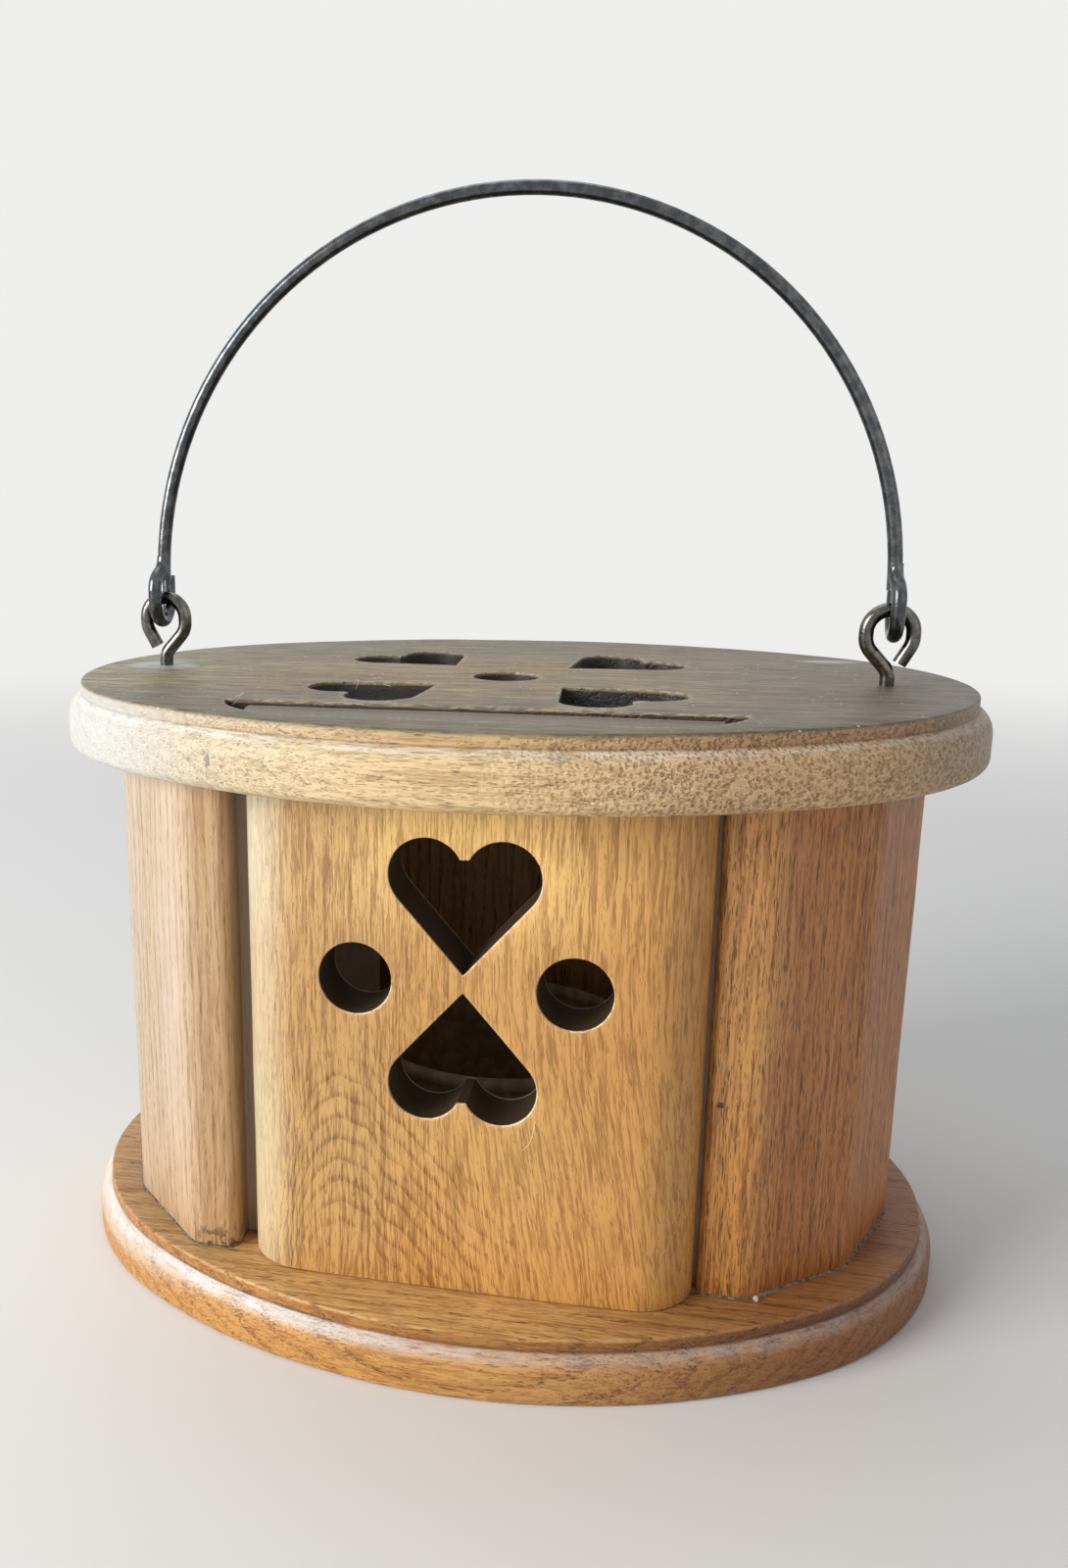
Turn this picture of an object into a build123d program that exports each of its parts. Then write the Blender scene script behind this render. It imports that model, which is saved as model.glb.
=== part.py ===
from build123d import *
from math import asin, atan2, cos, degrees, hypot, radians, sin, sqrt
import os

# Oval oak foot warmer: two moulded oval boards joined by two carved side blocks and a back
# panel. The front panel slides up through a crescent slot in the lid to let an ember pan in.
# A wire bail hangs in two eye screws. Millimetres. The origin is the middle of the underside,
# +Z is up, the sliding panel faces -Y and the long axis of the oval is X.

# ---- the oval boards ----
lid_length = 263.6
lid_depth = 203.4
base_length = 260.8
base_depth = 203.0
oval_end_radius = 88.0
base_thickness = 17.0
lid_thickness = 19.0
overall_height = 172.0
moulding_inset = 3.8
moulding_drop = 3.0
ovolo_radius = 7.0
lid_foot_round = 3.0
base_foot_round = 1.2

# ---- the side blocks: the boards overhang them, and they stand a little off the middle ----
end_overhang = 14.0
front_overhang = 34.4
body_shift = -1.5
right_nose_depth = 66.0
left_nose_depth = 71.6
nose_land = 13.1
front_facet_length = 14.5
front_facet_depth = 23.8
end_facet_half_width = 9.0
facet_rounding = 11.0
nose_rounding = 9.0
nose_inner_rounding = 3.0
panel_opening = 126.4
back_panel_play = 0.2
doorway_width = 100.0
chamber_end_wall = 23.8
chamber_side_wall = 17.3
chamber_corner_radius = 34.0

# ---- the sliding front panel, and the fixed back panel of the same section ----
panel_width = 121.7
panel_thickness = 17.3
panel_set_in = 5.3
panel_crown = 1.0
panel_edge_round = 16.0
panel_top_below_lid = 1.4
panel_middle = 0.1
panel_rub_gap = 0.4

# ---- the crescent slot in the lid ----
slot_back_gap = 0.9
slot_front_gap = 3.3
slot_half_length = 67.0
slot_tip_setback = 1.0
slot_bow_x = 5.0
slot_bow_y = 10.5

# ---- cut-outs: every round stretch is made by one auger bit ----
bit_radius = 9.525
lobe_spacing = 19.5
heart_height = 35.0
heart_web_cut = 2.5
panel_hole_spacing = 56.4
panel_hole_height = 103.5
upper_heart_tip = 106.6
lower_heart_tip = 101.4
lid_heart_tip_x = 17.6
lid_heart_tip_y = 20.9
front_hearts_shift = -0.4
back_hearts_shift = -2.8
lid_hole_x = -1.2
lid_hole_y = -2.0
cut_past = 1.0

# ---- eye screws: bent wire, the eye drawn out a little towards its foot ----
wire_radius = 2.0
eye_inset = 25.3
eye_line_x = -1.8
eye_line_y = 2.0
eye_radius = 6.2
eye_height = 14.5
eye_side_length = 1.2
eye_inboard = 0.3
eye_neck_angle = 42.0
eye_neck_bend = 4.5
eye_end_angle = 28.5
eye_end_length = 5.0
eye_shank_depth = 13.0
shank_clearance = 0.05

# ---- bail: one wire whose ends are hooked forwards through the eyes ----
bail_rise = 132.2
bail_leg_inset = 0.3
bail_hook_outset = 0.7
bail_hook_radius = 5.8
bail_hook_drop = 1.2
bail_hook_tail = 6.4
bail_jog_start = 2.5
bail_jog_end = 12.5

# ---- ember pan ----
pan_clearance = 7.0
pan_height = 42.0
pan_wall = 1.8
pan_bead_radius = 2.2
pan_corner = 6.0
pan_back_shift = 3.0
strap_width = 12.0
strap_thickness = 2.2
strap_span = 40.0
strap_feet_span = 66.0
strap_reach = 13.0
strap_bend = 6.0
strap_height = 26.0
rivet_spacing = 53.0
rivet_radius = 2.0
rivet_head_radius = 3.4
rivet_head_height = 1.2

# ---- hidden fixings ----
screw_radius = 2.0
screw_head_radius = 4.2
screw_head_depth = 3.0
screw_head_sunk = 0.6
screw_grip = 22.0
screw_slot = 1.0
dowel_radius = 4.0
dowel_in_lid = 10.0
dowel_in_block = 16.0
fixing_clearance = 0.05
block_fixing_inset = 22.9
block_fixing_y = 40.0
back_fixing_x = 36.0

lid_bottom = overall_height - lid_thickness
wall_height = lid_bottom - base_thickness
body_half_length = lid_length / 2 - end_overhang
body_half_depth = lid_depth / 2 - front_overhang
chamber_half_length = body_half_length - chamber_end_wall
chamber_half_depth = body_half_depth - chamber_side_wall
pan_radius = chamber_half_depth - pan_clearance
panel_back = body_half_depth - panel_set_in
panel_front = panel_back + panel_thickness
panel_height = overall_height - panel_top_below_lid - base_thickness
eye_spacing = lid_length - 2 * eye_inset
ring_centre_z = overall_height + eye_height
pivot_z = ring_centre_z + eye_radius


def tangent_oval(length, depth, end_radius, inset=0.0):
    """Four-centred oval: an arc at each end and one along each side, all tangent."""
    a = length / 2 - inset
    b = depth / 2 - inset
    r = end_radius - inset
    side_radius = ((a - r) ** 2 + b ** 2 - r ** 2) / (2 * (b - r))
    turn = atan2(side_radius - b, a - r)
    tx = a - r + r * cos(turn)
    ty = r * sin(turn)
    right = ThreePointArc((tx, -ty), (a, 0), (tx, ty))
    top = ThreePointArc((tx, ty), (0, b), (-tx, ty))
    left = ThreePointArc((-tx, ty), (-a, 0), (-tx, -ty))
    bottom = ThreePointArc((-tx, -ty), (0, -b), (tx, -ty))
    return make_face(right + top + left + bottom)


def moulded_board(length, depth, thickness, foot_round):
    """Oval board: rounded foot, upright edge, ovolo, and a square step up to the flat top."""
    shoulder = thickness - moulding_drop
    lower = extrude(tangent_oval(length, depth, oval_end_radius), shoulder)
    lower = fillet(lower.edges().group_by(Axis.Z)[-1], ovolo_radius)
    lower = fillet(lower.edges().group_by(Axis.Z)[0], foot_round)
    face = tangent_oval(length, depth, oval_end_radius, moulding_inset)
    upper = Pos(0, 0, shoulder / 2) * extrude(face, thickness - shoulder / 2)
    return lower + upper


def heart():
    """Heart with its tip at the origin and its lobes up +Y: two bores, two saw cuts, web out."""
    lobe_x = lobe_spacing / 2
    lobe_y = heart_height - bit_radius
    reach = hypot(lobe_x, lobe_y)
    side = sqrt(reach ** 2 - bit_radius ** 2)
    lean = atan2(lobe_x, lobe_y) + asin(bit_radius / reach)
    web_x = heart_web_cut / 2
    web_y = lobe_y + sqrt(bit_radius ** 2 - (lobe_x - web_x) ** 2)
    right = (side * sin(lean), side * cos(lean))
    left = (-right[0], right[1])
    wedge = make_face(Polyline((0, 0), right, (web_x, web_y), (-web_x, web_y), left, close=True))
    bores = Pos(lobe_x, lobe_y) * Circle(bit_radius) + Pos(-lobe_x, lobe_y) * Circle(bit_radius)
    return wedge + bores


def panel_section():
    """Plan of a panel, back edge on y = 0 and crowned front on -Y, with well rounded edges."""
    half = panel_width / 2
    front = panel_thickness - panel_crown
    back = Line((-half, 0), (half, 0))
    right = Line((half, 0), (half, -front))
    crown = ThreePointArc((half, -front), (0, -front - panel_crown), (-half, -front))
    left = Line((-half, -front), (-half, 0))
    face = make_face(back + right + crown + left)
    return fillet(face.vertices().group_by(Axis.Y)[0], panel_edge_round)


def slot_section():
    """Crescent: straight back edge, front edge bowed round the panel, pointed ends."""
    back = -(panel_back - slot_back_gap)
    front = -(panel_front + slot_front_gap)
    shoulder_x = panel_width / 2 - panel_edge_round + slot_front_gap
    tip_y = slot_tip_setback + back
    corner_x = slot_half_length - slot_bow_x
    corner_y = front + slot_bow_y
    edges = Line((-slot_half_length, tip_y), (slot_half_length, tip_y))
    edges += ThreePointArc(
        (slot_half_length, tip_y), (corner_x, corner_y), (shoulder_x, front + panel_crown)
    )
    edges += ThreePointArc(
        (shoulder_x, front + panel_crown), (0, front), (-shoulder_x, front + panel_crown)
    )
    edges += ThreePointArc(
        (-shoulder_x, front + panel_crown), (-corner_x, corner_y), (-slot_half_length, tip_y)
    )
    crescent = make_face(edges)
    behind = Pos(0, back + panel_back / 2) * Rectangle(4 * slot_half_length, panel_back)
    return crescent - behind


def block_fixing_points():
    x = body_half_length - block_fixing_inset
    return [(sx * x, sy * block_fixing_y) for sx in (-1, 1) for sy in (-1, 1)]


def back_fixing_points():
    middle = panel_back + panel_thickness / 2
    return [(-back_fixing_x, middle), (back_fixing_x, middle)]


def fixing_points():
    """Where the boards are screwed and dowelled to the body, in the frame of the ovals."""
    return [(x + body_shift, y) for x, y in block_fixing_points() + back_fixing_points()]


def at_points(points, z, shape):
    return [Pos(x, y, z) * shape for x, y in points]


def screw_solid(clearance=0.0, slotted=True):
    """Countersunk wood screw standing point up, its head face at z = screw_head_sunk."""
    radius = screw_radius + clearance
    head = screw_head_radius + clearance
    top = base_thickness + screw_grip + clearance
    outline = Polyline(
        (0, screw_head_sunk),
        (head, screw_head_sunk),
        (radius, screw_head_sunk + screw_head_depth),
        (radius, top - 3 * screw_radius),
        (0, top),
        close=True,
    )
    body = revolve(Plane.XZ * make_face(outline), Axis.Z)
    if slotted:
        cut = Box(3 * screw_head_radius, screw_slot, 2 * screw_slot)
        body -= Pos(0, 0, screw_head_sunk) * cut
    return body


def screw_hole():
    mouth = Cylinder(screw_head_radius + fixing_clearance, 2 * screw_head_sunk)
    return screw_solid(fixing_clearance, slotted=False) + mouth


def dowel(clearance=0.0):
    length = dowel_in_lid + dowel_in_block + 2 * clearance
    return Pos(0, 0, (dowel_in_lid - dowel_in_block) / 2) * Cylinder(
        dowel_radius + clearance, length
    )


def base_board():
    board = moulded_board(base_length, base_depth, base_thickness, base_foot_round)
    for hole in at_points(fixing_points(), 0, screw_hole()):
        board -= hole
    return board


def lid_hearts():
    """Four hearts on the diagonals, their tips towards the middle and the round hole."""
    cutter = extrude(heart(), 2 * lid_thickness)
    hearts = []
    for sx, sy, turn in ((1, 1, -45), (-1, 1, 45), (-1, -1, 135), (1, -1, -135)):
        x = sx * lid_heart_tip_x + (back_hearts_shift if sy > 0 else front_hearts_shift)
        place = Pos(x, sy * lid_heart_tip_y, lid_bottom - lid_thickness / 2)
        hearts.append(place * Rot(0, 0, turn) * cutter)
    return hearts


def lid_board():
    board = moulded_board(lid_length, lid_depth, lid_thickness, lid_foot_round)
    board = Pos(0, 0, lid_bottom) * board
    for cutter in lid_hearts():
        board -= cutter
    board -= Pos(lid_hole_x, lid_hole_y, lid_bottom) * Cylinder(bit_radius, 4 * lid_thickness)
    slot = extrude(slot_section(), lid_thickness + 2 * cut_past)
    board -= Pos(0, 0, lid_bottom - cut_past) * slot
    shank = Cylinder(wire_radius + shank_clearance, 2 * eye_shank_depth + 2 * shank_clearance)
    for side in (-1, 1):
        board -= Pos(eye_line_x + side * eye_spacing / 2, eye_line_y, overall_height) * shank
    for hole in at_points(fixing_points(), lid_bottom, dowel(fixing_clearance)):
        board -= hole
    return board


def block_outline(nose_depth):
    """Plan of a right-hand block: flat nose, two hewn facets and a narrow end facet."""
    nose_x = panel_opening / 2 + nose_land
    facet_end = (body_half_length - front_facet_length, body_half_depth - front_facet_depth)
    end_corner = (body_half_length, end_facet_half_width)
    front = [(doorway_width / 2, nose_depth), (nose_x, nose_depth), facet_end, end_corner]
    back = [end_corner, facet_end, (nose_x, body_half_depth), (doorway_width / 2, body_half_depth)]
    face = make_face(Polyline(*[(x, -y) for x, y in front], *back, close=True))
    outer = face.vertices().sort_by(Axis.X)
    facets = [v for v in outer if v.X > nose_x + wire_radius]
    face = fillet(facets, facet_rounding)
    nose = [v for v in face.vertices() if abs(v.X - nose_x) < fixing_clearance]
    return fillet(nose, nose_rounding)


def chamber_section():
    return RectangleRounded(
        2 * chamber_half_length, 2 * chamber_half_depth, chamber_corner_radius
    )


def side_block(nose_depth):
    """Carved right-hand block: hollow inside, rebated front and back for the panels."""
    plan = block_outline(nose_depth) - chamber_section()
    rebate_depth = body_half_depth - panel_back + panel_rub_gap
    rebate = Rectangle(panel_opening, 2 * rebate_depth)
    plan -= Pos(0, -body_half_depth) * rebate
    back_width = panel_width + back_panel_play
    plan -= Pos(0, body_half_depth) * Rectangle(back_width, 2 * panel_set_in)
    front = [v for v in plan.vertices() if v.Y < fixing_clearance - nose_depth]
    plan = fillet([v for v in front if v.X < panel_opening / 2 + 1], nose_inner_rounding)
    block = Pos(0, 0, base_thickness) * extrude(plan, wall_height)
    for hole in at_points(block_fixing_points(), 0, screw_hole()):
        block -= hole
    for hole in at_points(block_fixing_points(), lid_bottom, dowel(fixing_clearance)):
        block -= hole
    return block


def panel_cut(profile, x, z, turn=0.0):
    """Cut through the front panel: a profile that stands upright with its origin at (x, z)."""
    cutter = extrude(profile, panel_thickness + 2 * cut_past)
    return Pos(x, cut_past - panel_back, z) * Rot(90, 0, 0) * Rot(0, 0, turn) * cutter


def front_panel():
    """Sliding panel: two hearts tip to tip and a bore each side, all by the same bit."""
    slab = extrude(panel_section(), panel_height)
    slab = Pos(panel_middle, -panel_back, base_thickness) * slab
    slab -= panel_cut(heart(), panel_middle, upper_heart_tip)
    slab -= panel_cut(heart(), panel_middle, lower_heart_tip, 180)
    for side in (-1, 1):
        x = panel_middle + side * panel_hole_spacing / 2
        slab -= panel_cut(Circle(bit_radius), x, panel_hole_height)
    return slab


def back_panel():
    slab = extrude(panel_section(), wall_height)
    slab = Pos(0, panel_back, base_thickness) * Rot(0, 0, 180) * slab
    for hole in at_points(back_fixing_points(), 0, screw_hole()):
        slab -= hole
    for hole in at_points(back_fixing_points(), lid_bottom, dowel(fixing_clearance)):
        slab -= hole
    return slab


def right_eye_screw():
    """Open eye of bent wire: shank, neck bent inboard, round over the top, straight end."""
    neck = radians(eye_neck_angle)
    out = radians(eye_end_angle)
    low = ring_centre_z - eye_side_length
    left = -eye_inboard - eye_radius
    right = -eye_inboard + eye_radius
    neck_top = (-eye_inboard - eye_radius * cos(neck), low - eye_radius * sin(neck))
    bend_x = -eye_neck_bend * (1 - cos(neck))
    bend_z = neck_top[1] - (bend_x - neck_top[0]) / sin(neck) * cos(neck)
    foot_z = bend_z - eye_neck_bend * sin(neck)
    end_top = (-eye_inboard + eye_radius * cos(out), low - eye_radius * sin(out))
    end = (end_top[0] - eye_end_length * sin(out), end_top[1] - eye_end_length * cos(out))
    shank = Line((0, overall_height - eye_shank_depth), (0, foot_z))
    bend = TangentArc((0, foot_z), (bend_x, bend_z), tangent=(0, 1))
    neck_line = Line((bend_x, bend_z), neck_top)
    lower_arc = TangentArc(neck_top, (left, low), tangent=(-sin(neck), cos(neck)))
    inboard = Line((left, low), (left, ring_centre_z))
    top_arc = TangentArc((left, ring_centre_z), (right, ring_centre_z), tangent=(0, 1))
    outboard = Line((right, ring_centre_z), (right, low))
    outer_arc = TangentArc((right, low), end_top, tangent=(0, -1))
    tail = Line(end_top, end)
    path = shank + bend + neck_line + lower_arc + inboard + top_arc + outboard + outer_arc + tail
    section = Plane(origin=shank @ 0, z_dir=(0, 1, 0)) * Circle(wire_radius)
    return Pos(eye_spacing / 2, 0, 0) * Rot(90, 0, 0) * sweep(section, path=path)


def bail_handle():
    """One wire: a hook, a jog back to the arch, the arch, a jog and a hook."""
    half = eye_spacing / 2 - bail_leg_inset
    hook_x = eye_spacing / 2 + bail_hook_outset
    arch_z = overall_height + bail_rise - half
    low = pivot_z - bail_hook_drop
    jog_low = pivot_z + bail_jog_start
    jog_high = pivot_z + bail_jog_end
    r = bail_hook_radius

    def hook(side):
        """From the free end behind the eye, under its top, up in front and back to the arch."""
        x = side * hook_x
        middle = Vector(side * (hook_x + half) / 2, -r / 2, (jog_low + jog_high) / 2)
        tail = Line((x, r, pivot_z + bail_hook_tail), (x, r, low))
        under = ThreePointArc((x, r, low), (x, 0, low - r), (x, -r, low))
        front = Line((x, -r, low), (x, -r, jog_low))
        first = TangentArc((x, -r, jog_low), middle, tangent=(0, 0, 1))
        second = TangentArc(middle, (side * half, 0, jog_high), tangent=first % 1)
        return tail + under + front + first + second

    left_hook = hook(-1)
    left_leg = Line((-half, 0, jog_high), (-half, 0, arch_z))
    arch = ThreePointArc((-half, 0, arch_z), (0, 0, arch_z + half), (half, 0, arch_z))
    right_leg = Line((half, 0, arch_z), (half, 0, jog_high))
    path = left_hook + left_leg + arch + right_leg + hook(1)
    start = Vector(-hook_x, r, pivot_z + bail_hook_tail)
    section = Plane(origin=start, z_dir=(0, 0, -1)) * Circle(wire_radius)
    return Pos(eye_line_x, eye_line_y, 0) * sweep(section, path=path)


def pan_shell(radius, height, corner):
    profile = Pos(radius / 2, height / 2) * Rectangle(radius, height)
    profile = fillet(profile.vertices().sort_by(Axis.Y)[:2].sort_by(Axis.X)[-1:], corner)
    return revolve(Plane.XZ * profile, Axis.Z)


def rivet_places():
    turn = degrees(asin(rivet_spacing / 2 / pan_radius))
    return [Rot(0, 0, -90 + side * turn) for side in (-1, 1)]


def pan_place():
    return Pos(body_shift, pan_back_shift, base_thickness)


def ember_pan():
    """Sheet pan with a rounded foot and a rolled rim."""
    pan = pan_shell(pan_radius, pan_height, pan_corner)
    pan -= Pos(0, 0, pan_wall) * pan_shell(pan_radius - pan_wall, pan_height, pan_corner - pan_wall)
    pan += Pos(0, 0, pan_height) * Torus(pan_radius - pan_wall / 2, pan_bead_radius)
    hole = Rot(0, 90, 0) * Cylinder(rivet_radius + fixing_clearance, 3 * pan_wall)
    for place in rivet_places():
        pan -= place * Pos(pan_radius, 0, strap_height) * hole
    return pan_place() * pan


def strap_plan():
    """Plan of the pan's grip: a U of strap whose feet turn out and lie round the pan."""
    outside = pan_radius + strap_thickness
    deep = 2 * (strap_reach + pan_radius)
    loop = RectangleRounded(strap_span, deep, strap_bend)
    loop -= RectangleRounded(
        strap_span - 2 * strap_thickness, deep - 2 * strap_thickness, strap_bend - strap_thickness
    )
    feet = Circle(outside) & Pos(0, -outside) * Rectangle(strap_feet_span, 2 * outside)
    feet -= Rectangle(strap_span - 2 * strap_thickness, 4 * outside)
    front = Pos(0, -2 * pan_radius) * Rectangle(4 * pan_radius, 4 * pan_radius)
    return ((loop & front) + feet) - Circle(pan_radius)


def ember_pan_handle():
    grip = Pos(0, 0, strap_height - strap_width / 2) * extrude(strap_plan(), strap_width)
    hole = Rot(0, 90, 0) * Cylinder(rivet_radius + fixing_clearance, 4 * strap_thickness)
    for place in rivet_places():
        grip -= place * Pos(pan_radius + strap_thickness, 0, strap_height) * hole
    return pan_place() * grip


def ember_pan_rivets():
    inside = pan_radius - pan_wall
    outside = pan_radius + strap_thickness
    middle = (inside + outside) / 2
    length = outside - inside + 2 * rivet_head_height
    walls = Cylinder(outside, 4 * strap_width) - Cylinder(inside, 4 * strap_width)
    heads = Rot(0, 90, 0) * Cylinder(rivet_head_radius, length)
    shank = Rot(0, 90, 0) * Cylinder(rivet_radius, length - rivet_head_height)
    rivets = []
    for place in rivet_places():
        rivet = (place * Pos(middle, 0, 0) * heads) - walls + place * Pos(middle, 0, 0) * shank
        rivets.append(pan_place() * Pos(0, 0, strap_height) * rivet)
    return Compound(children=rivets)


def build_all():
    body = Pos(body_shift, 0, 0)
    eyes = Pos(eye_line_x, eye_line_y, 0)
    left_block = mirror(side_block(left_nose_depth), about=Plane.YZ)
    right_eye = right_eye_screw()
    screws = at_points(fixing_points(), 0, screw_solid())
    dowels = at_points(fixing_points(), lid_bottom, dowel())
    return {
        "base_board": base_board(),
        "lid_board": lid_board(),
        "right_side_block": body * side_block(right_nose_depth),
        "left_side_block": body * left_block,
        "back_panel": body * back_panel(),
        "front_panel": front_panel(),
        "right_eye_screw": eyes * right_eye,
        "left_eye_screw": eyes * mirror(right_eye, about=Plane.YZ),
        "bail_handle": bail_handle(),
        "ember_pan": ember_pan(),
        "ember_pan_handle": ember_pan_handle(),
        "ember_pan_rivets": ember_pan_rivets(),
        "base_screws": Compound(children=screws),
        "lid_dowels": Compound(children=dowels),
    }


if __name__ == "__main__":
    os.makedirs("parts", exist_ok=True)
    for name, shape in build_all().items():
        export_step(shape, f"parts/{name}.step")
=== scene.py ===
import math

import bmesh
import bpy
import numpy as np
from mathutils import Matrix, Vector, noise
from mathutils.geometry import delaunay_2d_cdt


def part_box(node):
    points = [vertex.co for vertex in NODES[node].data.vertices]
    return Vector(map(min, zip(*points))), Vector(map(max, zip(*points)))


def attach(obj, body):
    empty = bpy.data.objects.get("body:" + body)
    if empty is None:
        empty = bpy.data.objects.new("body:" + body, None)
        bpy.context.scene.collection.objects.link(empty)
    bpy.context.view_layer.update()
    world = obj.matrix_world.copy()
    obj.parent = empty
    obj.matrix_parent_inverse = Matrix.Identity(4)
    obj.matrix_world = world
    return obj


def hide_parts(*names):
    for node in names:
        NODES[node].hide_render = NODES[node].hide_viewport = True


# Oval oak foot warmer. The wooden pieces are rebuilt from the outlines of their CAD nodes, with
# worn arrises and a hand-planed surface. The ironwork keeps its CAD mesh. Shapes are in metres,
# materials in millimetres.

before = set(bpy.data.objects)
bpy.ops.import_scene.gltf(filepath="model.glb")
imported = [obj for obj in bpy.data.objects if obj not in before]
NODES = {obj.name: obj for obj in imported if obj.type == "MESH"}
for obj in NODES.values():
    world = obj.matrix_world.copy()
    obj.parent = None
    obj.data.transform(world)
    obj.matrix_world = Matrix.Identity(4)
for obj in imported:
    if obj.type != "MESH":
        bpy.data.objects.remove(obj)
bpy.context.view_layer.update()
MM = 0.001

# ---- camera: worked out from the photograph's ovals and upright edges ----
IMAGE_WIDTH, IMAGE_HEIGHT = 1090, 1600
FOCAL_PIXELS = 1416.559
PRINCIPAL_POINT = (387.893, 863.369)
CAMERA_PLACE = Vector((0.0547531, -0.4052809, 0.2259198))
CAMERA_FORWARD = Vector((-0.21969425, 0.94267024, -0.25121159))
CAMERA_ROLL = math.radians(-0.11)
SENSOR = 36.0


def add_object(name, data):
    """A new object of the data, linked into the scene."""
    made = bpy.data.objects.new(name, data)
    bpy.context.scene.collection.objects.link(made)
    return made


def make_camera():
    data = bpy.data.cameras.new("camera")
    data.sensor_width = SENSOR
    data.lens = FOCAL_PIXELS * SENSOR / IMAGE_HEIGHT
    data.shift_x = (IMAGE_WIDTH / 2 - PRINCIPAL_POINT[0]) / IMAGE_HEIGHT
    data.shift_y = (PRINCIPAL_POINT[1] - IMAGE_HEIGHT / 2) / IMAGE_HEIGHT
    data.clip_start = 0.01
    camera = add_object("camera", data)
    forward = CAMERA_FORWARD.normalized()
    right = forward.cross(Vector((0, 0, 1))).normalized()
    up = right.cross(forward)
    c, s = math.cos(CAMERA_ROLL), math.sin(CAMERA_ROLL)
    axes = (right * c + up * s, up * c - right * s, -forward)
    camera.matrix_world = Matrix.Translation(CAMERA_PLACE) @ Matrix(axes).transposed().to_4x4()
    bpy.context.scene.camera = camera


# ---- outlines read from the frame ----
TO_MICRONS, FROM_MICRONS = 1e6, 1e-6
LEVEL_TOLERANCE = 2e-5
CORNER = math.radians(24)
LEAST_MITRE_COSINE = 0.7


def flat_face_loops(node, axis, level):
    """Closed outlines of a node's flat face at a level along an axis, the wood on their left."""
    mesh = NODES[node].data
    keys = [tuple(round(c * TO_MICRONS) for c in v.co) for v in mesh.vertices]
    half_edges = {}
    for face in mesh.polygons:
        if any(abs(mesh.vertices[i].co[axis] - level) > LEVEL_TOLERANCE for i in face.vertices):
            continue
        ring = [keys[i] for i in face.vertices]
        for a, b in zip(ring, ring[1:] + ring[:1]):
            if (b, a) in half_edges:
                del half_edges[(b, a)]
            else:
                half_edges[(a, b)] = True
    following = dict(half_edges.keys())
    loops = []
    while following:
        start, point = following.popitem()
        loop = [start]
        while point != start:
            loop.append(point)
            point = following.pop(point)
        loops.append(np.array(loop) * FROM_MICRONS)
    return sorted(loops, key=lambda loop: -np.ptp(loop, axis=0).sum())


def resample(loop, step):
    """Closed 2D outline in even steps: smooth between its corners, which are kept."""
    previous, after = np.roll(loop, 1, 0), np.roll(loop, -1, 0)
    a, b = loop - previous, after - loop
    turn = np.abs(np.arctan2(a[:, 0] * b[:, 1] - a[:, 1] * b[:, 0], (a * b).sum(1)))
    sharp = turn > CORNER
    points = []
    for i in range(len(loop)):
        j = (i + 1) % len(loop)
        p1, p2 = loop[i], loop[j]
        p0 = 2 * p1 - p2 if sharp[i] else loop[i - 1]
        p3 = 2 * p2 - p1 if sharp[j] else loop[(j + 1) % len(loop)]
        length = np.linalg.norm(p2 - p1)
        m1 = (p2 - p0) * length / (np.linalg.norm(p1 - p0) + length)
        m2 = (p3 - p1) * length / (np.linalg.norm(p3 - p2) + length)
        count = max(1, round(length / step))
        for t in np.arange(count) / count:
            points.append(
                (2 * t**3 - 3 * t**2 + 1) * p1 + (t**3 - 2 * t**2 + t) * m1
                + (3 * t**2 - 2 * t**3) * p2 + (t**3 - t**2) * m2
            )
    return np.array(points)


def inset(loop, distance):
    """The outline moved to its left, into the wood."""
    a = loop - np.roll(loop, 1, 0)
    b = np.roll(loop, -1, 0) - loop
    a /= np.linalg.norm(a, axis=1)[:, None]
    b /= np.linalg.norm(b, axis=1)[:, None]
    normal = np.stack((-(a + b)[:, 1], (a + b)[:, 0]), 1)
    normal /= np.linalg.norm(normal, axis=1)[:, None]
    cosine = np.abs((normal * np.stack((-a[:, 1], a[:, 0]), 1)).sum(1))
    return loop + normal * (distance / np.clip(cosine, LEAST_MITRE_COSINE, 1))[:, None]


def inside(points, loops):
    """Whether each 2D point lies inside the outlines, by the even-odd rule."""
    result = np.zeros(len(points), bool)
    for loop in loops:
        after = np.roll(loop, -1, 0)
        for (x1, y1), (x2, y2) in zip(loop, after):
            if y1 == y2:
                continue
            crosses = (points[:, 1] < y1) != (points[:, 1] < y2)
            x = x1 + (points[:, 1] - y1) * (x2 - x1) / (y2 - y1)
            result ^= crosses & (points[:, 0] < x)
    return result


def level_with(points, z):
    """2D points lifted to one height."""
    return [(x, y, z) for x, y in points]


WOBBLE_LENGTH = 35 * MM
SHARP_EDGE = math.radians(40)


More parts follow.
